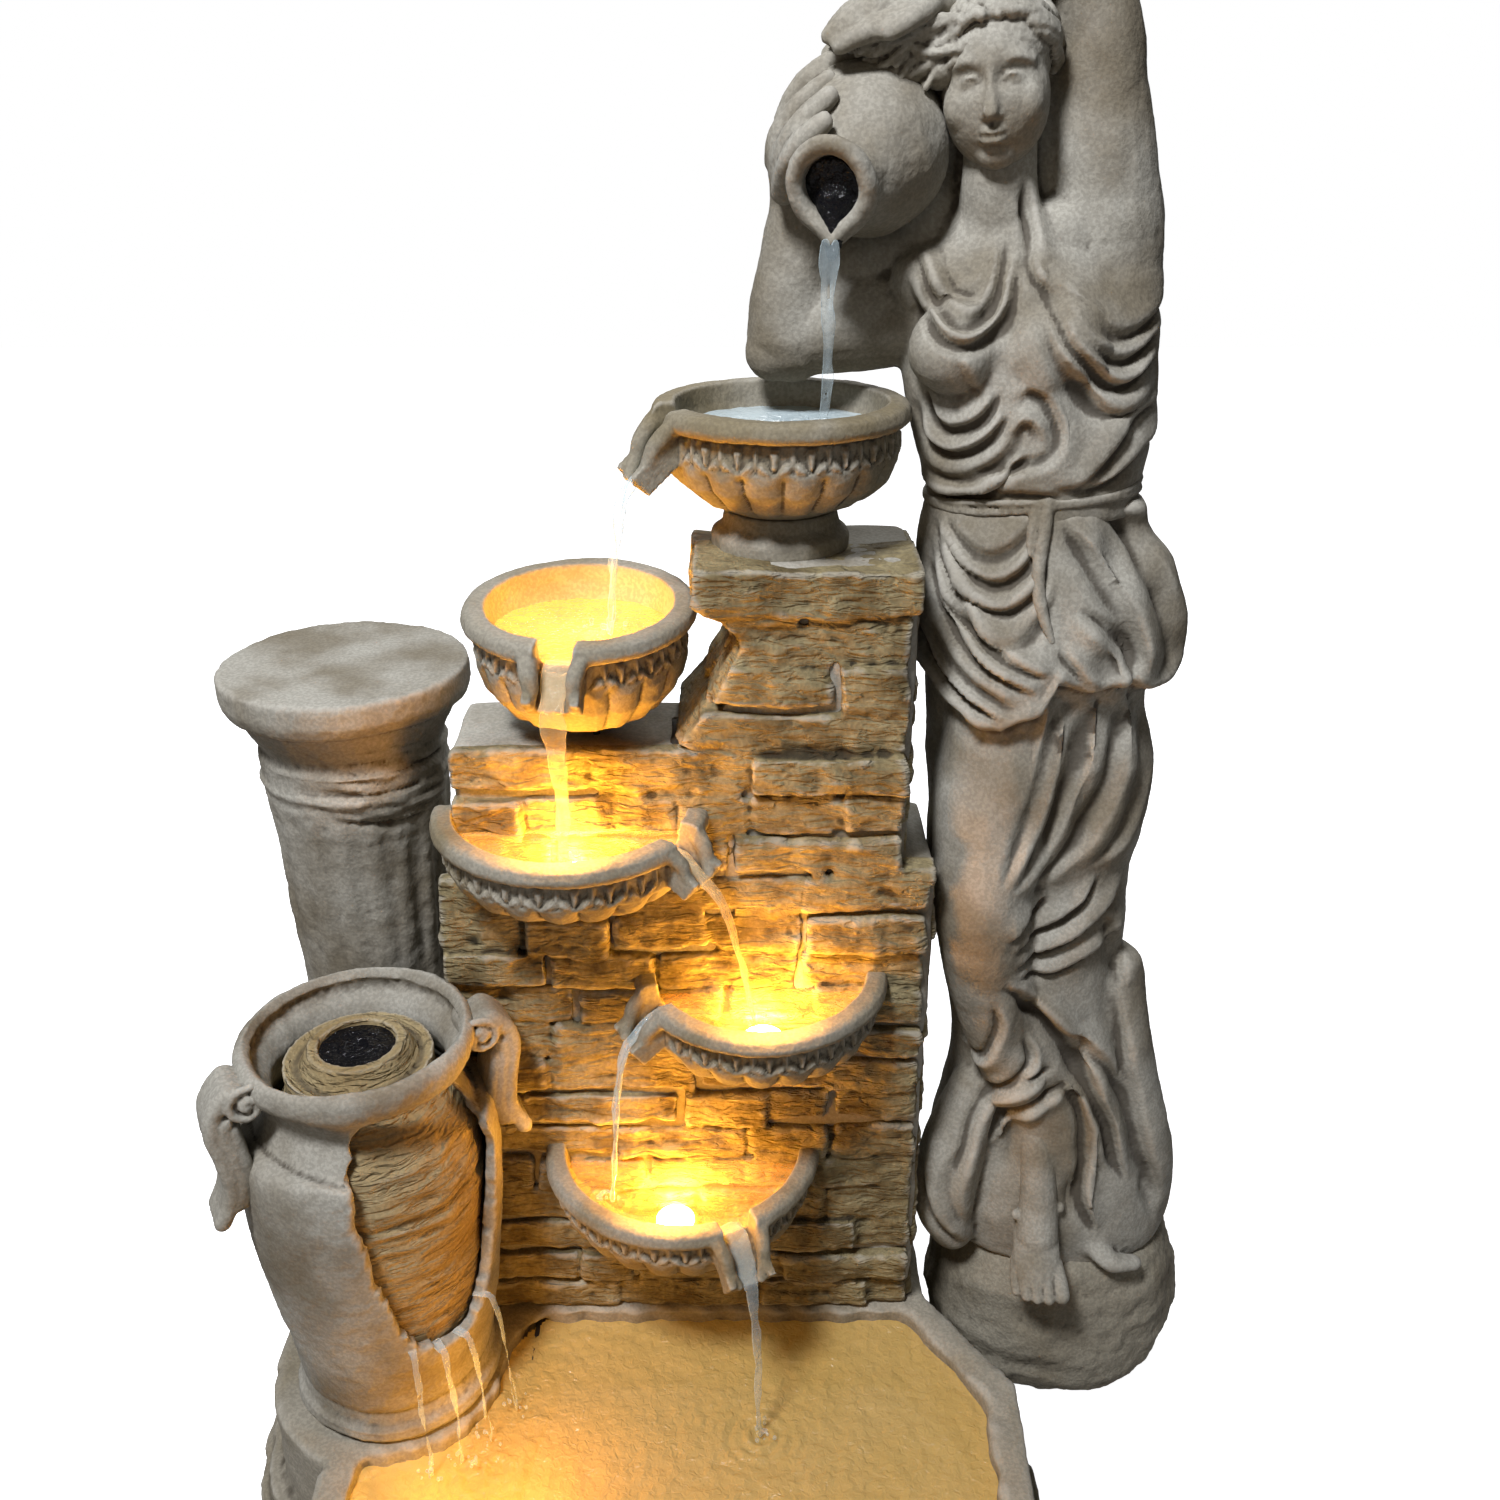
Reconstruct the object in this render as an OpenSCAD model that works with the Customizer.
// Five-bowl cascade fountain: a water bearer on a rock, a brick wall with bowls, a column, a broken urn and a pool.
// Millimetres. X runs to the right, Y to the back, Z up. Every piece is a solid of its own.
// Places are given on the site, whose Y = 0 is the wall's brick face; on_site() then centres the whole footprint.

/* [Base and pool] */
// Height of the pool's rim and of the deck that the wall stands on
deck_z = 60; // [54:1:70]
// Height of the rubber feet
foot_h = 3; // [2:0.5:5]
// Radius of one rubber foot
foot_r = 9; // [7:0.5:11]
// Height of the pool's floor above the table
pool_floor_z = 18; // [12:1:26]
// Width of the pool's rim
pool_rim = 14; // [10:1:18]
// How far the base flares out at the table
base_flare = 12; // [6:1:14]
// Right inner edge of the pool
pool_right_x = 92; // [86:1:98]
// Left inner edge of the pool, in front of the urn
pool_left_x = -148; // [-154:1:-144]
// How far the pool's front bows forward of the wall
pool_front_y = -182; // [-190:1:-170]
// Where the pool's straight sides end and its bow begins
pool_bow_y = -105; // [-115:1:-95]
// Depth of the deck behind the wall's face
deck_back_y = 64; // [60:1:70]

/* [Brick wall] */
// Left end of the wall
wall_left_x = -106; // [-110:1:-100]
// Right end of the lower wall
wall_right_x = 68; // [64:1:72]
// Right end of the upper pier
pier_right_x = 57; // [52:1:62]
// Left end of the upper pier
pier_left_x = -8; // [-12:1:-2]
// How far the pier's capstone overhangs the pier on the left
cap_overhang = 9; // [6:1:10]
// Thickness of the pier, front to back
pier_depth = 58; // [54:1:62]
// Thickness of the wall's left wing, front to back
wing_depth = 42; // [38:1:48]
// Height of one brick course
course_h = 16.25; // [14:0.25:18]
// Courses up to the ledge that carries the second bowl
ledge_courses = 16; // [14:1:17]
// Courses of the upper pier above that ledge, its capstone included
pier_courses = 4; // [3:1:5]
// Wall of the hollow castings
wall_t = 6; // [5:0.5:8]
// Width and depth of a mortar joint
joint_w = 2; // [1.5:0.25:3]
// Length of a brick
brick_l = 44; // [34:1:54]

/* [Rear cover] */
// Width of the service opening behind the pump
cover_w = 56; // [50:1:60]
// Height of the service opening
cover_h = 70; // [60:1:80]
// Thickness of the rear cover
cover_t = 3; // [2.5:0.5:4]
// How far the cover laps over the opening's edge
cover_lap = 5; // [4:0.5:6]
// Radius of the cover screws' thread
screw_r = 1.5; // [1.25:0.25:2]

/* [Column and urn] */
// Radius of the column's flat top
column_cap_r = 46; // [42:1:48]
// Radius of the column's shaft below its cap
column_r = 35; // [31:1:37]
// Height of the column's top
column_top_z = 334; // [320:1:345]
// Radius of the urn's belly
urn_r = 47; // [43:1:49]
// Radius of the urn's rim
urn_rim_r = 42; // [38:1:43]
// Height of the urn's rim
urn_top_z = 226; // [215:1:235]
// Wall of the urn's outer shell
urn_t = 5; // [4:0.5:6]
// Turn of the line through the urn's two handles
urn_handle_az = 28; // [0:2:30]
// Radius of the well at the middle of the urn
urn_well_r = 13.5; // [11:0.5:15]

/* [Bowls] */
// Outer radius of each bowl, from the top one down
bowl_r = [44, 41, 50, 48, 55];
// Height of each bowl's rim
bowl_rim_z = [435, 369, 298, 229, 147];
// Height of each bowl from its foot to its rim
bowl_h = [37, 43, 34, 36, 42];
// Wall of a bowl
bowl_t = 4; // [3:0.5:5]
// Height of a bowl's rounded lip
lip_h = 7; // [5:0.5:9]
// Height of the palmette band under the lip
band_h = 10; // [8:0.5:12]
// Width of a spout's channel
spout_w = 13; // [10:0.5:15]
// Radius of the pedestal under the top bowl
pedestal_r = 24; // [20:1:27]

/* [Figure and jug] */
// Height at which the figure meets its rock
rock_top_z = 72; // [66:1:78]
// Half width of the rock
rock_rx = 57; // [52:1:60]
// Half depth of the rock
rock_ry = 50; // [46:1:54]
// Height of the figure's belt, where its two halves meet
waist_z = 396; // [390:1:400]
// Height of the chin, where the head meets the neck
neck_z = 504; // [500:1:508]
// Radius of the jug's body
jug_r = 27; // [24:0.5:28]
// Radius of the jug's mouth
jug_mouth_r = 13.5; // [12:0.5:15]
// Length of the jug from its foot to its mouth
jug_l = 64; // [58:1:68]
// Wall of the jug
jug_t = 3.5; // [3:0.5:4.5]

/* [Water system] */
// Outer radius of the silicone hoses
hose_r = 4; // [3.5:0.25:4.5]
// Bore radius of the silicone hoses
hose_bore_r = 2.75; // [2:0.25:3]
// Width, depth and height of the pump
pump_size = [44, 34, 36];
// Radius of the impeller
impeller_r = 9; // [7:0.5:10]
// Radius of the ceramic shaft
shaft_r = 1.5; // [1:0.25:2]
// Radius of a lamp's body
lamp_r = 9; // [7:0.5:10]
// Height of a lamp's body
lamp_h = 7; // [6:0.5:9]
// Radius of a lamp lead
lead_r = 1.25; // [1:0.25:1.75]
// Radius of the cord hole in the gland
gland_bore_r = 3.2; // [2.5:0.1:3.5]
// Reach of a hose's bends
hose_bend_r = 14; // [12:1:18]
// Reach of a lead's bends
lead_bend_r = 6; // [4:1:10]
// Clearance between castings that touch
fit_gap = 0.3; // [0.2:0.05:0.4]
// Running clearance, on the radius, of the pump's rotor and dial
run_gap = 0.05; // [0.03:0.01:0.1]

/* [Hidden] */
$fn = 64;
eps = 0.01;

// Sizes that follow from the ones above
base_z = foot_h;
ledge_z = deck_z + ledge_courses * course_h;
pier_top_z = ledge_z + pier_courses * course_h;
step_z = deck_z + (ledge_courses - 3) * course_h;
pool_mid_x = (pool_left_x + pool_right_x) / 2;

// Places on the site
urn_xy = [-141, -33];
column_xy = [-153, 48];
rock_xy = [139, 50];
bowl_xy = [[10.5, 30], [-59, 16], [-64, 0], [4, 0], [-27, 0]];
bowl_half = [false, false, true, true, true];
spout_az = [200, 263, 332, 206, 296];
spout_len = [19, 13, 12, 14, 16];
spout_pitch = [42, 40, 34, 34, 38];
bowl_tilt = 5;
foot_share = [0.4, 0.42, 0.36, 0.36, 0.36];
urn_pad_r = 50;
column_pad_r = 40;

// The footprint's box, and the move that centres it
x_min = urn_xy[0] - urn_pad_r - base_flare;
x_max = rock_xy[0] + rock_rx;
y_min = pool_front_y - pool_rim - base_flare;
y_max = rock_xy[1] + rock_ry;
module on_site() { translate([-(x_min + x_max) / 2, -(y_min + y_max) / 2, 0]) children(); }

stone = [0.56, 0.54, 0.50];
dark_stone = [0.45, 0.43, 0.40];

// ---------- shared shapes ----------

function arc(c, r, a0, a1, n) = [for (i = [0:n]) let (a = a0 + (a1 - a0) * i / n) c + r * [cos(a), sin(a)]];

// Closed skin through elliptical rings [z, x, y, rx, ry], grown by g all round
module loft(rings, sides = 28, g = 0) {
    n = len(rings);
    pts = [for (s = rings) for (i = [0:sides - 1]) let (a = 360 * i / sides)
        [s[1] + (s[3] + g) * cos(a), s[2] + (s[4] + g) * sin(a), s[0]]];
    quads = [for (k = [0:n - 2]) for (i = [0:sides - 1]) let (j = (i + 1) % sides)
        [k * sides + i, (k + 1) * sides + i, (k + 1) * sides + j, k * sides + j]];
    floor_face = [[for (i = [0:sides - 1]) i]];
    roof_face = [[for (i = [0:sides - 1]) n * sides - 1 - i]];
    polyhedron(points = pts, faces = concat(quads, floor_face, roof_face), convexity = 6);
}

// Chain of round limbs through points [x, y, z, r], grown by g
module limb(points, g = 0) {
    for (k = [0:len(points) - 2])
        hull() {
            translate([for (i = [0:2]) points[k][i]]) sphere(r = points[k][3] + g, $fn = 20);
            translate([for (i = [0:2]) points[k + 1][i]]) sphere(r = points[k + 1][3] + g, $fn = 20);
        }
}

// Turns +Z to the direction d
module along(d) {
    rotate([0, acos(d[2] / norm(d)), atan2(d[1], d[0])]) children();
}

// Rounds the corners of a path with curves that reach r along each side
function bend(p, r) = concat([p[0]],
    [for (k = [1:len(p) - 2])
        let (back = p[k - 1] - p[k], ahead = p[k + 1] - p[k],
             a = p[k] + unit(back) * min(r, norm(back) * 0.45), b = p[k] + unit(ahead) * min(r, norm(ahead) * 0.45))
        for (t = [0:0.25:1]) (1 - t) * (1 - t) * a + 2 * t * (1 - t) * p[k] + t * t * b],
    [p[len(p) - 1]]);

function unit(v) = v / norm(v);

// One ring of points round p, square to the direction t
function ring(p, t, r, sides) =
    let (u = unit(cross(t, [0.62, 0.55, -0.56])), v = cross(t, u))
    [for (i = [0:sides - 1]) p + r * (cos(360 * i / sides) * u + sin(360 * i / sides) * v)];

// Solid round lead along a path
module tube(path, r, bend_r = lead_bend_r, sides = 8) {
    p = bend(path, bend_r);
    n = len(p);
    dir = [for (k = [0:n - 1]) unit(p[min(k + 1, n - 1)] - p[max(k - 1, 0)])];
    skin = [for (k = [0:n - 1]) each ring(p[k], dir[k], r, sides)];
    walls = [for (k = [0:n - 2]) for (i = [0:sides - 1]) let (j = (i + 1) % sides)
        each [[k * sides + i, (k + 1) * sides + i, (k + 1) * sides + j], [k * sides + i, (k + 1) * sides + j, k * sides + j]]];
    caps = [[for (i = [0:sides - 1]) i], [for (i = [0:sides - 1]) n * sides - 1 - i]];
    polyhedron(points = skin, faces = concat(walls, caps), convexity = 6);
}

// Hollow hose along a path
module hose(path) {
    last = len(path) - 1;
    difference() {
        tube(path, hose_r, hose_bend_r, 12);
        tube(concat([path[0] + unit(path[0] - path[1])], [for (k = [1:last - 1]) path[k]],
            [path[last] + unit(path[last] - path[last - 1])]), hose_bore_r, hose_bend_r, 12);
    }
}

// ---------- base ----------

// Outline of the pool, moved outwards by d: straight back, cut right corner, bowed front, bay round the urn
function pool_outline(d, bay_r) =
    let (half = (pool_right_x - pool_left_x) / 2, sag = pool_bow_y - pool_front_y,
         bow_r = (half * half + sag * sag) / (2 * sag), bow_y = pool_front_y + bow_r,
         reach = asin(half / bow_r),
         c = [pool_mid_x, bow_y])
    concat([[66 + d * 0.4, -6 + d], [-86 - d * 0.3, -6 + d], [-97 - d, -18 + d * 0.4]],
           arc(urn_xy, bay_r, 2, -97, 10),
           [[pool_left_x - d, -82], [pool_left_x - d, pool_bow_y]],
           arc(c, bow_r + d, -90 - reach, -90 + reach, 28),
           [[pool_right_x + d, -46 + d * 0.2]]);

module footprint(d) {
    polygon(pool_outline(pool_rim + d, urn_pad_r - 8));
    translate(urn_xy) circle(r = urn_pad_r + d);
    translate(column_xy) circle(r = column_pad_r + d);
    translate([column_xy[0] - column_pad_r - d, urn_xy[1]]) square([column_pad_r + d, column_xy[1] - urn_xy[1]]);
    translate([column_xy[0], urn_xy[1]]) square([-column_xy[0] + wall_right_x + 6, deck_back_y - urn_xy[1]]);
}

well_front_y = 9;
well_left_x = wall_left_x + wall_t + 3;
well_right_x = wall_right_x - wall_t;
return_x = -90;
gland_xz = [44, 42];
drain_xz = [16, 20];
gland_r = 6;
drain_r = 5;
pump_left_x = pier_left_x + 14;

module basin() {
    color(stone) on_site() difference() {
        union() {
            translate([0, 0, base_z]) linear_extrude(deck_z - base_z) footprint(0);
            translate([0, 0, base_z]) linear_extrude((deck_z - base_z) * 0.3) footprint(base_flare * 0.6);
            translate([0, 0, base_z]) linear_extrude((deck_z - base_z) * 0.12) footprint(base_flare);
        }
        translate([0, 0, pool_floor_z]) linear_extrude(deck_z) polygon(pool_outline(0, urn_pad_r - 8));
        translate([well_left_x, well_front_y, base_z + 8])
            cube([well_right_x - well_left_x, wing_depth - wall_t - well_front_y, deck_z]);
        translate([pier_left_x + 6, well_front_y, base_z + 8])
            cube([well_right_x - pier_left_x - 6, pier_depth - wall_t - well_front_y, deck_z]);
        translate([return_x, -pool_rim, deck_z - 8]) rotate([-90, 0, 0]) cylinder(r = 4, h = pool_rim + well_front_y + 1);
        translate([gland_xz[0], 0, gland_xz[1]]) rotate([-90, 0, 0]) translate([0, 0, 40]) cylinder(r = gland_r, h = 60);
        translate([drain_xz[0], 0, drain_xz[1]]) rotate([-90, 0, 0]) translate([0, 0, 40]) cylinder(r = drain_r, h = 60);
        rock_base_shape(fit_gap);
    }
}

foot_xy = [[-118, -112], [60, -118], [-28, -168], [-170, 62], [-172, -40], [40, 40], [120, 30], [165, 62]];
module rubber_feet() {
    color("dimgray") on_site() for (p = foot_xy) translate([p[0], p[1], 0]) cylinder(r = foot_r, h = foot_h);
}

module cable_gland() {
    gland_t = deck_back_y - (pier_depth - wall_t);
    color("black") on_site() translate([gland_xz[0], pier_depth - wall_t, gland_xz[1]]) rotate([-90, 0, 0]) difference() {
        union() {
            cylinder(r = gland_r, h = gland_t);
            translate([0, 0, gland_t]) cylinder(r = gland_r + 3, h = 3);
        }
        translate([0, 0, -1]) cylinder(r = gland_bore_r, h = gland_t + 5);
    }
}

module drain_plug() {
    plug_t = deck_back_y - (pier_depth - wall_t);
    color("black") on_site() translate([drain_xz[0], pier_depth - wall_t, drain_xz[1]]) rotate([-90, 0, 0]) {
        cylinder(r = drain_r - run_gap, h = plug_t + eps);
        translate([0, 0, plug_t]) cylinder(r = drain_r + 3, h = 3);
        translate([0, 0, plug_t + 3]) cylinder(r = 3, h = 4);
    }
}

// ---------- brick wall ----------

cover_x = (pier_left_x + wall_right_x) / 2 + 1;
cover_z = deck_z + 10 + cover_h / 2;
lead_hole_r = lead_r + fit_gap;
hose_hole_r = hose_r + fit_gap;
hose_z = deck_z + 24;
channel_gap = 1;

module mortar_joints(x0, x1, z0, courses) {
    for (k = [0:courses - 1])
        translate([x0 - 1, -1, z0 + k * course_h - joint_w / 2]) cube([x1 - x0 + 2, 1 + joint_w, joint_w]);
    for (k = [0:courses - 1])
        for (x = [x0 + (k % 2 == 0 ? brick_l * 0.55 : brick_l):brick_l:x1 - brick_l * 0.35])
            translate([x + (k % 3) * 4, -1, z0 + k * course_h]) cube([joint_w, 1 + joint_w, course_h - joint_w / 4]);
}

module brick_wall() {
    color(dark_stone) on_site() difference() {
        union() {
            translate([wall_left_x, 0, deck_z]) cube([pier_left_x - wall_left_x + 8, wing_depth, ledge_z - deck_z]);
            translate([pier_left_x, 0, deck_z]) cube([wall_right_x - pier_left_x, pier_depth, step_z - deck_z]);
            translate([pier_left_x, 0, deck_z]) cube([pier_right_x - pier_left_x, pier_depth, pier_top_z - deck_z]);
            translate([pier_left_x - cap_overhang, 0, pier_top_z - course_h * 1.2])
                cube([pier_right_x - pier_left_x + cap_overhang, pier_depth, course_h * 1.2]);
        }
        // hollow inside, open at the bottom
        translate([wall_left_x + wall_t, joint_w + wall_t, deck_z - 1])
            cube([pier_left_x - wall_left_x + 8, wing_depth - joint_w - 2 * wall_t, ledge_z - deck_z + 1 - wall_t]);
        translate([pier_left_x + wall_t, joint_w + wall_t, deck_z - 1])
            cube([wall_right_x - pier_left_x - 2 * wall_t, pier_depth - joint_w - 2 * wall_t, step_z - deck_z + 1 - wall_t]);
        translate([pier_left_x + wall_t, joint_w + wall_t, deck_z - 1])
            cube([pier_right_x - pier_left_x - 2 * wall_t, pier_depth - joint_w - 2 * wall_t, pier_top_z - deck_z + 1 - wall_t]);
        mortar_joints(wall_left_x, wall_right_x, deck_z, ledge_courses - 3);
        mortar_joints(wall_left_x, pier_right_x, step_z, 3);
        mortar_joints(pier_left_x, pier_right_x, ledge_z, pier_courses - 1);
        // service opening, screw holes, hose and lead holes
        translate([cover_x - cover_w / 2, pier_depth - wall_t - 1, cover_z - cover_h / 2]) cube([cover_w, wall_t + 2, cover_h]);
        for (s = [-1, 1]) translate([cover_x, pier_depth - wall_t - 1, cover_z + s * (cover_h / 2 + cover_lap / 2 + 1)])
            rotate([-90, 0, 0]) cylinder(r = screw_r + run_gap, h = wall_t + 2);
        translate([wall_right_x - wall_t - 1, jug_riser_xy[1], hose_z]) rotate([0, 90, 0]) cylinder(r = hose_hole_r, h = wall_t + 2);
        translate([wall_left_x - 1, urn_hose_y, hose_z]) rotate([0, 90, 0]) cylinder(r = hose_hole_r, h = wall_t + 2);
        for (k = [2:4]) translate([lamp_xyz[k][0], -1, lamp_xyz[k][2] + lead_up])
            rotate([-90, 0, 0]) cylinder(r = lead_hole_r, h = joint_w + wall_t + 2);
        translate([lamp_xyz[1][0], lamp_xyz[1][1], ledge_z - wall_t - 1]) cylinder(r = lead_hole_r, h = wall_t + 2);
    }
}

module rear_cover() {
    color(dark_stone) on_site() difference() {
        union() {
            translate([cover_x - cover_w / 2 - cover_lap, pier_depth, cover_z - cover_h / 2 - cover_lap - 2])
                cube([cover_w + 2 * cover_lap, cover_t, cover_h + 2 * cover_lap + 4]);
            translate([cover_x - cover_w / 2 + fit_gap, pier_depth - wall_t + 1, cover_z - cover_h / 2 + fit_gap])
                cube([cover_w - 2 * fit_gap, wall_t, cover_h - 2 * fit_gap]);
            translate([cover_x - 14, pier_depth + cover_t, cover_z - 4]) cube([28, 6, 8]);
        }
        translate([cover_x - cover_w / 2 + 4, pier_depth - wall_t, cover_z - cover_h / 2 + 4]) cube([cover_w - 8, wall_t - 1, cover_h - 8]);
        for (s = [-1, 1]) translate([cover_x, pier_depth - 1, cover_z + s * (cover_h / 2 + cover_lap / 2 + 1)])
            rotate([-90, 0, 0]) cylinder(r = screw_r + run_gap, h = cover_t + 2);
    }
}

module cover_screws() {
    color("silver") on_site() for (s = [-1, 1])
        translate([cover_x, pier_depth, cover_z + s * (cover_h / 2 + cover_lap / 2 + 1)]) rotate([-90, 0, 0]) difference() {
            union() {
                translate([0, 0, -wall_t]) cylinder(r = screw_r, h = wall_t + cover_t + eps);
                translate([0, 0, cover_t]) cylinder(r = screw_r * 2, h = 2);
            }
            translate([-0.4, -screw_r * 2, cover_t + 1.2]) cube([0.8, screw_r * 4, 2]);
        }
}

// ---------- column and urn ----------

module column() {
    cap_z = column_top_z;
    color(stone) on_site() translate([column_xy[0], column_xy[1], 0]) difference() {
        rotate_extrude() polygon([[0, deck_z], [column_r * 0.9, deck_z], [column_r * 0.87, cap_z - 130],
            [column_r, cap_z - 46], [column_r + 2, cap_z - 42], [column_r + 1, cap_z - 38], [column_r + 3, cap_z - 34],
            [column_r + 2, cap_z - 28], [column_cap_r - 3, cap_z - 16], [column_cap_r, cap_z - 9], [column_cap_r, cap_z], [0, cap_z]]);
        translate([0, 0, deck_z - 1]) cylinder(r = column_r * 0.87 - wall_t, h = cap_z - deck_z - wall_t);
        for (a = [200:20:360]) rotate([0, 0, a]) translate([column_r * 0.9 + 2.2, 0, deck_z + 10]) cylinder(r = 3.5, h = cap_z - deck_z - 62, $fn = 24);
    }
}

urn_h = urn_top_z - deck_z;
urn_neck_r = urn_rim_r - 9;
function urn_profile(g) = [[urn_r * 0.8 + g, 0], [urn_r * 0.84 + g, 3], [urn_r * 0.84 + g, 7], [urn_r * 0.78 + g, 10],
    [urn_r * 0.8 + g, 22], [urn_r * 0.9 + g, 52], [urn_r + g, urn_h * 0.6], [urn_r + g, urn_h * 0.7],
    [urn_r * 0.93 + g, urn_h * 0.8], [urn_neck_r + g, urn_h * 0.89]];
urn_break_az = -45;

// Outline of the hole broken in the urn's front, across and up
break_outline = [[-22, 138], [-28, 126], [-27, 112], [-28, 98], [-25, 85], [-22, 72], [-18, 62], [-14, 50], [-6, 44],
                 [4, 42], [14, 46], [21, 58], [26, 76], [29, 98], [28, 118], [22, 134], [6, 141], [-10, 140]];

module urn_shell() {
    color(stone) on_site() translate([urn_xy[0], urn_xy[1], deck_z]) difference() {
        rotate_extrude() difference() {
            polygon(concat([[0, 0]], urn_profile(0), [[urn_rim_r - 2, urn_h - 12], [urn_rim_r, urn_h - 8],
                [urn_rim_r, urn_h - 3], [urn_rim_r - 4, urn_h], [0, urn_h]]));
            polygon(concat([[0, -1], [urn_r * 0.8 - urn_t, -1]], urn_profile(-urn_t),
                [[urn_rim_r - 12, urn_h - 8], [urn_rim_r - 11, urn_h + 1], [0, urn_h + 1]]));
        }
        rotate([0, 0, urn_break_az]) rotate([90, 0, 90]) linear_extrude(urn_r * 2) polygon(break_outline);
        translate([0, 0, hose_z - deck_z]) rotate([-90, 0, 0]) cylinder(r = hose_r + 2 * channel_gap, h = urn_r * 2);
    }
}

// Ribbed inner barrel that the water runs down, with the well at its top
module urn_water_barrel() {
    r = urn_r - urn_t - 2;
    top = urn_h - 10;
    neck = urn_neck_r - urn_t - fit_gap;
    color(dark_stone) on_site() translate([urn_xy[0], urn_xy[1], deck_z]) difference() {
        rotate_extrude() polygon([[urn_well_r + 3, 0], [r * 0.72, 0], [r * 0.8, 20], [r * 0.9, 50], [r, urn_h * 0.6], [r, urn_h * 0.68],
            [r * 0.94, urn_h * 0.76], [neck - 1.5, urn_h * 0.86], [neck - 1, top - 2], [urn_well_r + 8, top - 5], [urn_well_r + 4, top + 3],
            [urn_well_r, top + 3], [urn_well_r, top - 30], [urn_well_r + 3, top - 34]]);
        for (k = [0:8]) translate([0, 0, 34 + k * 9]) rotate_extrude() translate([r + 1.4, 0]) circle(r = 2.4, $fn = 24);
        translate([0, 0, hose_z - deck_z]) rotate([-90, 0, 0]) cylinder(r = hose_r + 2 * channel_gap, h = urn_r * 2);
    }
}

// Scroll handle: an upper volute and a drop that follows the shoulder
module scroll_handle(side) {
    w = 13;
    color(stone) on_site() difference() {
        translate([urn_xy[0], urn_xy[1], 0]) rotate([0, 0, urn_handle_az])
            translate([side * (urn_rim_r + 2.5), -6 - w / 2, urn_top_z - 13]) rotate([-90, 0, 0]) union() {
            translate([side * 2, 4, 0]) cylinder(r = 9, h = w);
            translate([side < 0 ? -10 : 4, 8, 0]) cube([6, 30, w]);
            translate([side * 8, 40, 0]) cylinder(r = 4.5, h = w);
            translate([side < 0 ? -8 : -4, 34, 0]) cube([12, 6, w]);
        }
        translate([urn_xy[0], urn_xy[1], deck_z]) rotate_extrude() polygon(concat([[0, 0]], urn_profile(fit_gap),
            [[urn_rim_r - 2 + fit_gap, urn_h - 12], [urn_rim_r + fit_gap, urn_h - 8], [urn_rim_r + fit_gap, urn_h + 1], [0, urn_h + 1]]));
    }
}
module urn_handle_left() { scroll_handle(-1); }
module urn_handle_right() { scroll_handle(1); }

// ---------- bowls ----------

function bowl_outer(k) = let (r = bowl_r[k], h = bowl_h[k], f = bowl_r[k] * foot_share[k], below = h - lip_h - band_h)
    [[0, -h], [f, -h], [f + (r - f) * 0.42, -h + below * 0.25], [f + (r - f) * 0.72, -h + below * 0.6],
     [r - 4, -lip_h - band_h], [r - 4, -lip_h], [r - 1, -lip_h], [r, -lip_h * 0.6], [r - 1, -lip_h * 0.15], [r - 3, 0], [0, 0]];
function bowl_inner(k) = let (r = bowl_r[k], h = bowl_h[k], f = bowl_r[k] * foot_share[k])
    [[0, -h + bowl_t], [f + 3, -h + bowl_t], [r - bowl_t - 14, -h * 0.62], [r - bowl_t - 8, -h * 0.4], [r - bowl_t - 5, -lip_h],
     [r - bowl_t - 4, 1], [0, 1]];

module spout_frame(k) {
    rotate([0, 0, spout_az[k]]) translate([bowl_r[k] - 9, 0, -lip_h - 2]) rotate([0, spout_pitch[k], 0]) children();
}

module bowl_shape(k) {
    difference() {
        union() {
            rotate_extrude() polygon(bowl_outer(k));
            spout_frame(k) translate([0, -spout_w / 2 - 3, -4]) cube([spout_len[k] + 4, spout_w + 6, 9]);
        }
        rotate_extrude() polygon(bowl_inner(k));
        spout_frame(k) translate([-8, -spout_w / 2, -1]) cube([spout_len[k] + 20, spout_w, 30]);
    }
}

module bowl(k) {
    place = [bowl_xy[k][0], bowl_xy[k][1], bowl_rim_z[k]];
    color(stone) on_site() difference() {
        if (bowl_half[k])
            intersection() {
                translate(place) bowl_shape(k);
                translate([-250, -150, 0]) cube([500, 150, 500]);
            }
        else if (k == 1)
            translate([place[0], place[1], ledge_z]) intersection() {
                translate([0, 0, place[2] - ledge_z]) rotate([bowl_tilt, 0, 0]) bowl_shape(k);
                translate([-100, -100, 0]) cube([200, 200, 100]);
            }
        else translate(place) bowl_shape(k);
        if (k == 1) translate([lamp_xyz[1][0], lamp_xyz[1][1], ledge_z - 1]) cylinder(r = lead_hole_r, h = 20);
    }
}
module bowl_1() { bowl(0); }
module bowl_2() { bowl(1); }
module bowl_3() { bowl(2); }
module bowl_4() { bowl(3); }
module bowl_5() { bowl(4); }

module bowl_pedestal() {
    h = bowl_rim_z[0] - bowl_h[0] - pier_top_z;
    color(stone) on_site() translate([bowl_xy[0][0], bowl_xy[0][1], pier_top_z])
        rotate_extrude() polygon([[0, 0], [pedestal_r, 0], [pedestal_r, h * 0.4], [pedestal_r * 0.85, h * 0.6], [pedestal_r * 0.8, h], [0, h]]);
}

// ---------- lamps ----------

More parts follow.
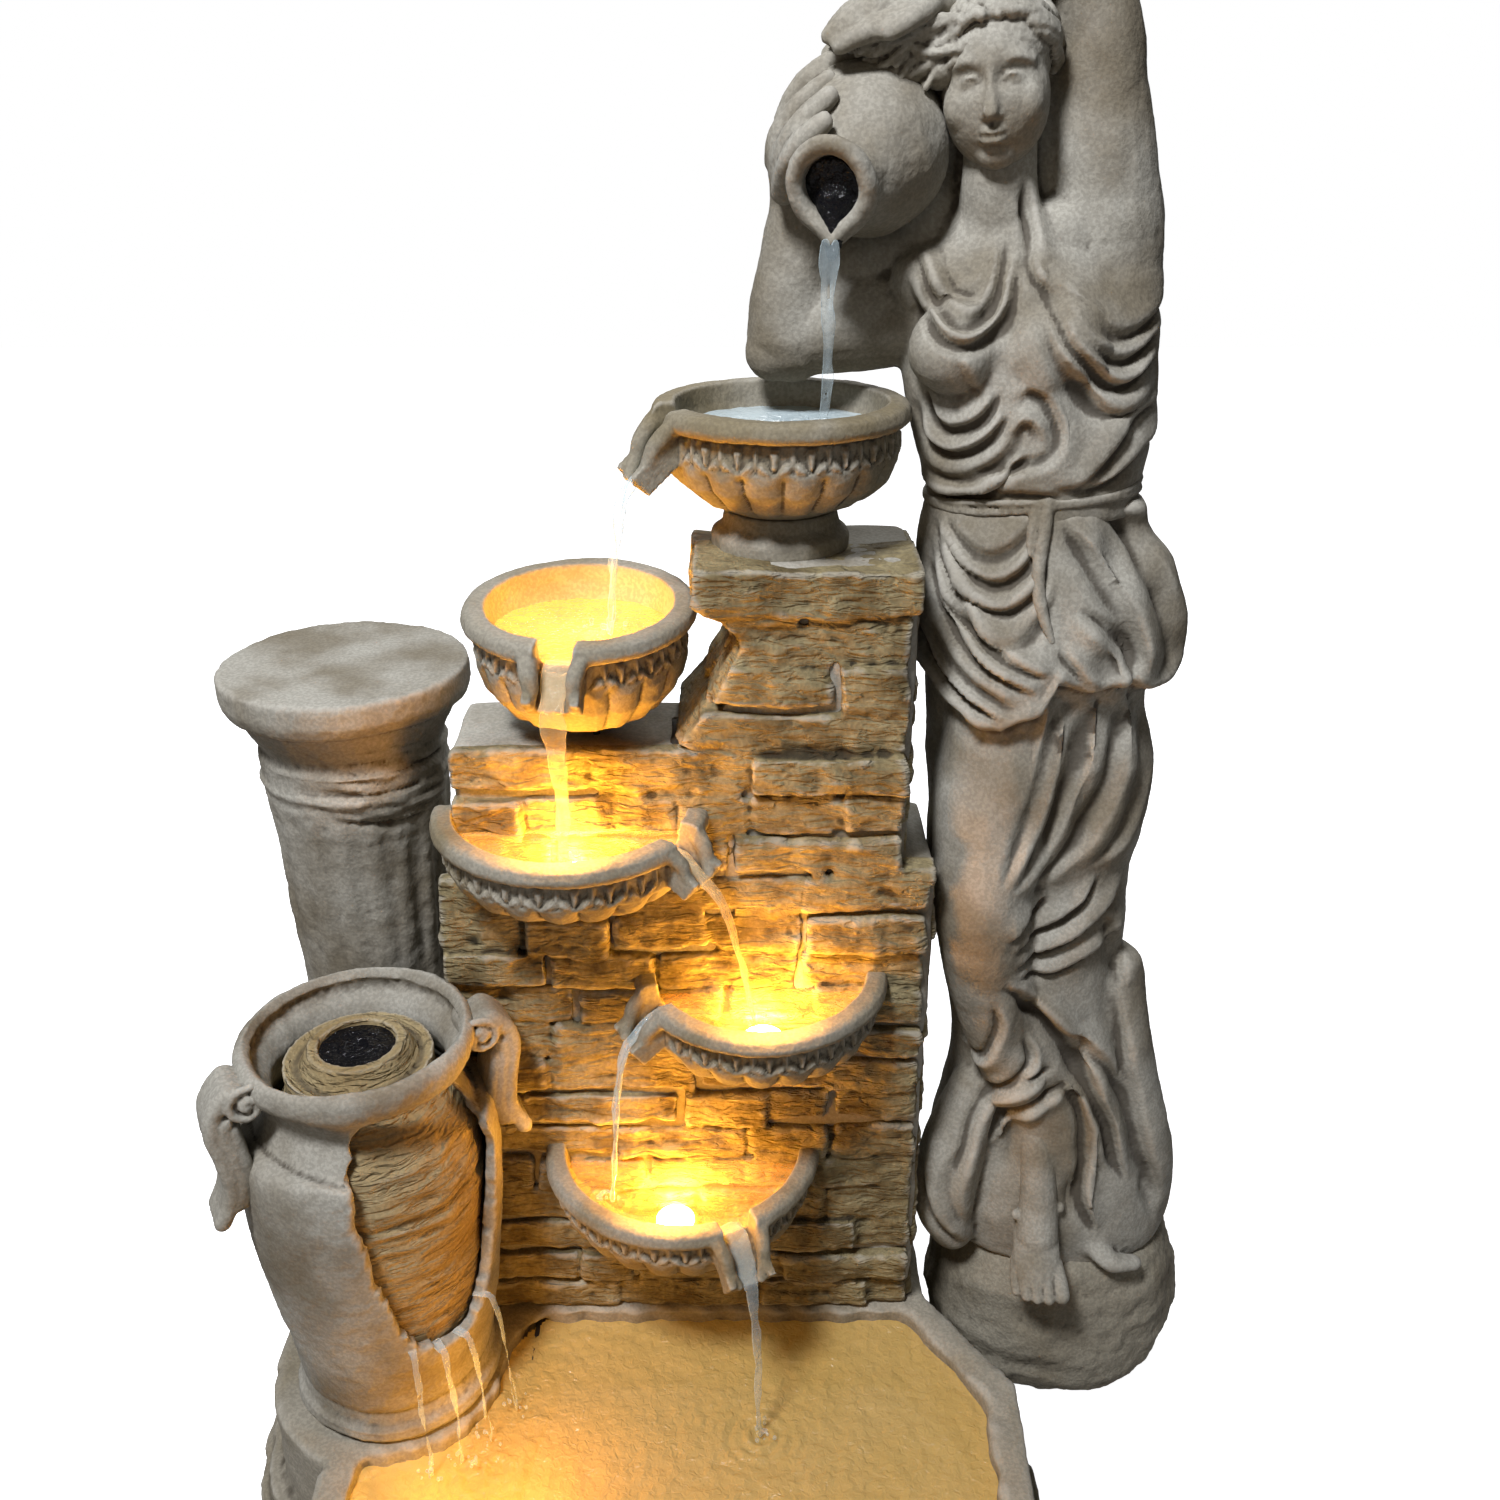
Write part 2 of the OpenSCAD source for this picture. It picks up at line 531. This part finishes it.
// Foot of each lamp; the first entry is the bowl with no lamp, and the last lamp stands in the pool
bowl_floor = [for (k = [0:4]) bowl_rim_z[k] - bowl_h[k] + bowl_t];
lamp_2_at = [4, -6, bowl_t - bowl_h[1]];
lamp_xyz = [[0, 0, 0],
    [bowl_xy[1][0] + lamp_2_at[0], bowl_xy[1][1] + lamp_2_at[1] * cos(bowl_tilt) - lamp_2_at[2] * sin(bowl_tilt),
     bowl_rim_z[1] + lamp_2_at[1] * sin(bowl_tilt) + lamp_2_at[2] * cos(bowl_tilt)],
    [-62, -11, bowl_floor[2]], [5, -11, bowl_floor[3]], [-30, -12, bowl_floor[4]], [-112, -110, pool_floor_z]];
lead_up = 3;

module lamp_body(i) {
    color("dimgray") on_site() translate(lamp_xyz[i]) rotate([i == 1 ? bowl_tilt : 0, 0, 0]) cylinder(r = lamp_r, h = lamp_h);
}
module lamp_lens(i) {
    color("gold") on_site() translate(lamp_xyz[i]) rotate([i == 1 ? bowl_tilt : 0, 0, 0]) translate([0, 0, lamp_h])
        rotate_extrude() polygon([[0, 0], [lamp_r - 1.5, 0], [lamp_r - 1.5, 1], [lamp_r - 3, 2.2], [2, 3], [0, 3]]);
}
module lamp_body_2() { lamp_body(1); }
module lamp_body_3() { lamp_body(2); }
module lamp_body_4() { lamp_body(3); }
module lamp_body_5() { lamp_body(4); }
module lamp_body_pool() { lamp_body(5); }
module lamp_lens_2() { lamp_lens(1); }
module lamp_lens_3() { lamp_lens(2); }
module lamp_lens_4() { lamp_lens(3); }
module lamp_lens_5() { lamp_lens(4); }
module lamp_lens_pool() { lamp_lens(5); }

splitter_size = [30, 12, 10];
splitter_at = [-66, wing_depth - wall_t - splitter_size[1], deck_z + 8];
lead_lane_y = splitter_at[1] + 5;
lane_gap = 3;

module lamp_leads() {
    top = splitter_at[2] + splitter_size[2];
    color("black") on_site() {
        for (k = [2:4]) let (p = lamp_xyz[k], x = splitter_at[0] + 6 + (k - 2) * 5, y = lead_lane_y + (k - 3) * lane_gap)
            tube([[p[0], p[1] + lamp_r, p[2] + lead_up], [p[0], y, p[2] + lead_up], [x, y, p[2] - 20], [x, y, top]], lead_r);
        let (p = lamp_xyz[1], x = splitter_at[0] + 22, y = lead_lane_y - lane_gap)
            tube([[p[0], p[1], p[2] - run_gap * 3], [p[0], p[1], ledge_z - 12], [x, y, ledge_z - 30], [x, y, top]], lead_r);
        let (p = lamp_xyz[5], z = deck_z - 8) tube([
            [p[0] + 6.6, p[1] + 6.6, p[2] + lead_up], [p[0] + 14, p[1] + 14, p[2] + lead_up],
            [return_x, -44, pool_floor_z + lead_up], [return_x, -28, z], [return_x, lead_lane_y, z],
            [splitter_at[0] - 9, lead_lane_y, splitter_at[2] + 5], [splitter_at[0], lead_lane_y, splitter_at[2] + 5]], lead_r);
    }
}

module cable_splitter() {
    color("black") on_site() translate(splitter_at) cube(splitter_size);
}

// ---------- pump ----------

pump_at = [pump_left_x, 14, base_z + 8 + 4];
pump_axis = [pump_at[0] + 15, pump_at[1] + pump_size[1] / 2, pump_at[2] + 15];
outlet_xy = [pump_axis[0] + 8, pump_axis[1]];
outlet_z = pump_at[2] + pump_size[2];
front_cover_t = 3;
chamber_d = 13;

module pump_body() {
    color([0.1, 0.1, 0.11]) on_site() difference() {
        union() {
            translate(pump_at) cube(pump_size);
            translate([outlet_xy[0], outlet_xy[1], outlet_z]) difference() {
                cylinder(r = 4.2, h = 5);
                translate([0, 0, -1]) cylinder(r = 2.6, h = 8);
            }
        }
        // rotor chamber, open to the left, with the rotor's blind bore behind it
        translate([pump_at[0] - 1, pump_axis[1], pump_axis[2]]) rotate([0, 90, 0]) cylinder(r = impeller_r + 2, h = chamber_d + 1);
        translate([pump_at[0], pump_axis[1], pump_axis[2]]) rotate([0, 90, 0]) cylinder(r = 5.5, h = chamber_d + 17);
        translate([outlet_xy[0] - 14, outlet_xy[1], pump_axis[2]]) cylinder(r = 3, h = pump_size[2] - 18);
        translate([outlet_xy[0] - 17, outlet_xy[1] - 3, outlet_z - 8]) cube([20, 6, 4]);
        translate([outlet_xy[0], outlet_xy[1], outlet_z - 8]) cylinder(r = 2.6, h = 10);
        translate([pump_at[0] + 34, pump_at[1] - 1, pump_at[2] + 18]) rotate([-90, 0, 0]) cylinder(r = 3 + run_gap, h = 5);
    }
}

module pump_front_cover() {
    color([0.12, 0.12, 0.13]) on_site() translate([pump_at[0] - front_cover_t, pump_at[1], pump_at[2]]) difference() {
        cube([front_cover_t, pump_size[1], pump_size[2]]);
        for (z = [8:4:28]) translate([-1, 6, z - 1]) cube([front_cover_t + 2, pump_size[1] - 12, 1.6]);
    }
}

module pump_sponge() {
    color("dimgray") on_site() translate([pump_at[0] + fit_gap, pump_at[1], pump_at[2]])
        translate([0, pump_size[1] / 2, 15]) rotate([0, 90, 0]) difference() {
            cylinder(r = impeller_r + 1.6, h = 2.4);
            translate([0, 0, -1]) cylinder(r = 4, h = 5);
        }
}

module pump_impeller() {
    color("white") on_site() translate([pump_at[0] + 3.5, pump_axis[1], pump_axis[2]]) rotate([0, 90, 0]) difference() {
        union() {
            cylinder(r = impeller_r - 4, h = chamber_d + 10);
            for (a = [0:60:300]) rotate([0, 0, a]) translate([0, -0.6, 0]) cube([impeller_r, 1.2, 6]);
        }
        translate([0, 0, -1]) cylinder(r = shaft_r + run_gap, h = chamber_d + 13);
    }
}

module impeller_shaft() {
    color("ivory") on_site() translate([pump_at[0] + 3, pump_axis[1], pump_axis[2]]) rotate([0, 90, 0]) cylinder(r = shaft_r, h = chamber_d + 14);
}

module flow_dial() {
    color("gray") on_site() translate([pump_at[0] + 34, pump_at[1], pump_at[2] + 18]) rotate([90, 0, 0]) {
        translate([0, 0, -3.6]) cylinder(r = 3, h = 4);
        translate([0, 0, 2 * run_gap]) cylinder(r = 5.5, h = 2);
        translate([-0.8, -5, 2]) cube([1.6, 10, 1.6]);
    }
}

module suction_cups() {
    color("dimgray") on_site() for (x = [8, pump_size[0] - 8]) for (y = [8, pump_size[1] - 8])
        translate([pump_at[0] + x, pump_at[1] + y, base_z + 8]) cylinder(r1 = 5.5, r2 = 3, h = 4, $fn = 48);
}

// ---------- hoses ----------

jug_riser_xy = [110, 47];
urn_hose_y = 13;
tee_z = hose_z;

module supply_hose() {
    color("lightgray") on_site() difference() {
        translate([outlet_xy[0], outlet_xy[1], outlet_z + 5]) cylinder(r = hose_r, h = tee_z - 6 - outlet_z - 5);
        translate([outlet_xy[0], outlet_xy[1], outlet_z]) cylinder(r = hose_bore_r, h = 60);
    }
}

module tee_fitting() {
    color("black") on_site() translate([outlet_xy[0], outlet_xy[1], tee_z]) difference() {
        union() {
            translate([0, 0, -6]) cylinder(r = hose_r + 1, h = 6);
            translate([-9, 0, 0]) rotate([0, 90, 0]) cylinder(r = hose_r + 1, h = 18);
        }
        translate([0, 0, -7]) cylinder(r = hose_bore_r, h = 7);
        translate([-10, 0, 0]) rotate([0, 90, 0]) cylinder(r = hose_bore_r, h = 20);
    }
}

jug_dir = [-19, -56, -23];
jug_foot = [44, 62, neck_z + 16];
jug_axis = jug_dir / norm(jug_dir);
jug_hose_end = jug_foot - jug_axis * 0.5;

jug_hose_path = [[outlet_xy[0] + 9, outlet_xy[1], tee_z], [outlet_xy[0] + 13, outlet_xy[1], tee_z],
    [outlet_xy[0] + 19, jug_riser_xy[1], tee_z], [jug_riser_xy[0], jug_riser_xy[1], tee_z],
    [jug_riser_xy[0], jug_riser_xy[1], neck_z - 64], [84, 62, neck_z - 12], [60, 80, neck_z + 18],
    jug_foot - jug_axis * 14, jug_hose_end];

module jug_hose() {
    color("lightgray") on_site() hose(jug_hose_path);
}

module urn_hose() {
    color("lightgray") on_site() hose([[outlet_xy[0] - 9, outlet_xy[1], tee_z], [outlet_xy[0] - 16, outlet_xy[1], tee_z],
        [outlet_xy[0] - 32, urn_hose_y + 4, tee_z], [wall_left_x + 12, urn_hose_y, tee_z], [urn_xy[0], urn_hose_y, tee_z],
        [urn_xy[0], urn_xy[1], tee_z], [urn_xy[0], urn_xy[1], urn_top_z - 50]]);
}

// ---------- figure, rock and jug ----------

module rock_base_shape(g = 0) {
    loft([[base_z - (g > 0 ? 1 : 0), rock_xy[0], rock_xy[1], rock_rx - 8, rock_ry - 7], [base_z + 10, rock_xy[0], rock_xy[1], rock_rx - 2, rock_ry - 2],
        [base_z + 28, rock_xy[0], rock_xy[1], rock_rx, rock_ry], [rock_top_z - 18, rock_xy[0], rock_xy[1], rock_rx - 3, rock_ry - 2],
        [rock_top_z - 6, rock_xy[0], rock_xy[1], rock_rx - 7, rock_ry - 6], [rock_top_z, rock_xy[0], rock_xy[1], rock_rx - 14, rock_ry - 10]], 36, g);
}
module rock_base() { color(dark_stone) on_site() rock_base_shape(); }

lower_rings = [[rock_top_z, 137, 50, 46, 40], [rock_top_z + 12, 136, 49, 53, 42], [rock_top_z + 58, 130, 48, 44, 39],
    [rock_top_z + 93, 126, 47, 38, 37], [waist_z - 196, 116, 46, 36, 36], [waist_z - 161, 114, 45, 39, 36],
    [waist_z - 111, 113, 45, 43, 36], [waist_z - 61, 114, 46, 48, 37], [waist_z - 26, 106, 46, 44, 33], [waist_z, 101, 46, 38, 29]];
upper_rings = [[waist_z, 101, 46, 38, 29], [waist_z + 19, 100, 45, 45, 31], [waist_z + 49, 97, 45, 43, 31],
    [waist_z + 69, 97, 46, 42, 28], [neck_z - 23, 93, 46, 30, 21], [neck_z - 13, 87, 43, 14, 13], [neck_z, 83, 40, 10, 10.5]];
head_rings = [[neck_z, 80, 36, 8, 9], [neck_z + 4, 78, 33, 12, 15], [neck_z + 14, 77, 33, 16, 19],
    [neck_z + 26, 77, 34, 18, 22], [neck_z + 38, 77, 36, 18, 22], [neck_z + 47, 77, 38, 14, 17], [neck_z + 52, 77, 39, 7, 9]];

module figure_lower() {
    color(stone) on_site() difference() {
        union() {
            loft(lower_rings);
            hull() {
                translate([124, 4, rock_top_z + 3]) sphere(r = 6, $fn = 20);
                translate([128, 16, rock_top_z + 10]) sphere(r = 9, $fn = 20);
                translate([124, 4, rock_top_z]) cylinder(r = 5, h = 1, $fn = 20);
            }
        }
        translate([0, 0, rock_top_z - 20]) translate([80, -20, 0]) cube([120, 60, 20]);
        translate([jug_riser_xy[0], jug_riser_xy[1], rock_top_z - 1]) cylinder(r = 18, h = waist_z - rock_top_z - 24);
        hose_channel();
    }
}

module hose_channel() {
    tube(jug_hose_path, hose_r + channel_gap, hose_bend_r, 12);
}

module figure_upper() {
    color(stone) on_site() difference() {
        loft(upper_rings);
        hose_channel();
    }
}

module figure_head() {
    color(stone) on_site() difference() {
        loft(head_rings, 24);
        jug_envelope(fit_gap);
        loft(upper_rings, g = fit_gap);
        translate([0, 0, neck_z - 20]) cube([200, 200, 20]);
        hose_channel();
    }
}

module jug_place() { translate(jug_foot) along(jug_dir) children(); }

function jug_outer(g) = [[0, -g], [11 + g, -g], [jug_r - 8 + g, 4], [jug_r - 2 + g, 13], [jug_r + g, 24], [jug_r - 3 + g, 36],
    [13 + g, 50], [12 + g, 54], [jug_mouth_r - 1 + g, jug_l - 3], [jug_mouth_r + g, jug_l + g], [0, jug_l + g]];
module jug_envelope(g) { jug_place() rotate_extrude() polygon(jug_outer(g)); }

module jug() {
    color(stone) on_site() jug_place() difference() {
        rotate_extrude() polygon(jug_outer(0));
        rotate_extrude() polygon([[0, jug_t], [8, jug_t], [jug_r - 8 - jug_t, 6], [jug_r - jug_t, 24], [jug_r - 3 - jug_t, 35],
            [9.5, 50], [8.5, 54], [jug_mouth_r - 3, jug_l - 1], [jug_mouth_r - 3, jug_l + 1], [0, jug_l + 1]]);
        translate([0, 0, -1]) cylinder(r = hose_r + run_gap, h = jug_t + 2);
    }
}

// Barbed outlet that the hose pushes on to, inside the jug
module jug_nozzle() {
    color("black") on_site() jug_place() difference() {
        union() {
            translate([0, 0, -0.5]) cylinder(r = hose_r, h = jug_t + 6);
            translate([0, 0, jug_t]) cylinder(r = hose_r + 2, h = 2);
        }
        translate([0, 0, -1]) cylinder(r = hose_bore_r, h = jug_t + 8);
    }
}

module arm_jug() {
    color(stone) on_site() difference() {
        union() {
            limb([[64, 50, neck_z - 40, 14], [16, 54, neck_z - 52, 14], [10, 50, neck_z - 34, 13], [10, 44, neck_z + 1, 9]]);
            limb([[10, 42, neck_z + 12, 8], [18, 34, neck_z + 32, 6], [28, 24, neck_z + 34, 4.5]]);
        }
        loft(upper_rings, g = fit_gap);
        jug_envelope(fit_gap);
        hose_channel();
        translate([bowl_xy[0][0], bowl_xy[0][1], 0]) cylinder(r = bowl_r[0] + fit_gap, h = bowl_rim_z[0] + fit_gap);
    }
}

module arm_raised() {
    color(stone) on_site() difference() {
        limb([[120, 48, neck_z - 36, 18], [118, 47, neck_z + 1, 17.5], [112, 45, neck_z + 32, 14.5],
            [106, 43, neck_z + 55, 12.5], [76, 36, neck_z + 65, 10], [50, 32, neck_z + 52, 7], [38, 30, neck_z + 42, 6]]);
        loft(upper_rings, g = fit_gap);
        loft(head_rings, 24, g = fit_gap);
        jug_envelope(fit_gap);
    }
}

basin();
brick_wall();
rear_cover();
cover_screws();
column();
urn_shell();
urn_water_barrel();
urn_handle_left();
urn_handle_right();
bowl_pedestal();
bowl_1();
bowl_2();
bowl_3();
bowl_4();
bowl_5();
rock_base();
figure_lower();
figure_upper();
figure_head();
arm_raised();
arm_jug();
jug();
jug_nozzle();
supply_hose();
tee_fitting();
jug_hose();
urn_hose();
pump_body();
pump_front_cover();
pump_sponge();
pump_impeller();
impeller_shaft();
flow_dial();
suction_cups();
cable_gland();
drain_plug();
rubber_feet();
cable_splitter();
lamp_body_2();
lamp_body_3();
lamp_body_4();
lamp_body_5();
lamp_body_pool();
lamp_lens_2();
lamp_lens_3();
lamp_lens_4();
lamp_lens_5();
lamp_lens_pool();
lamp_leads();
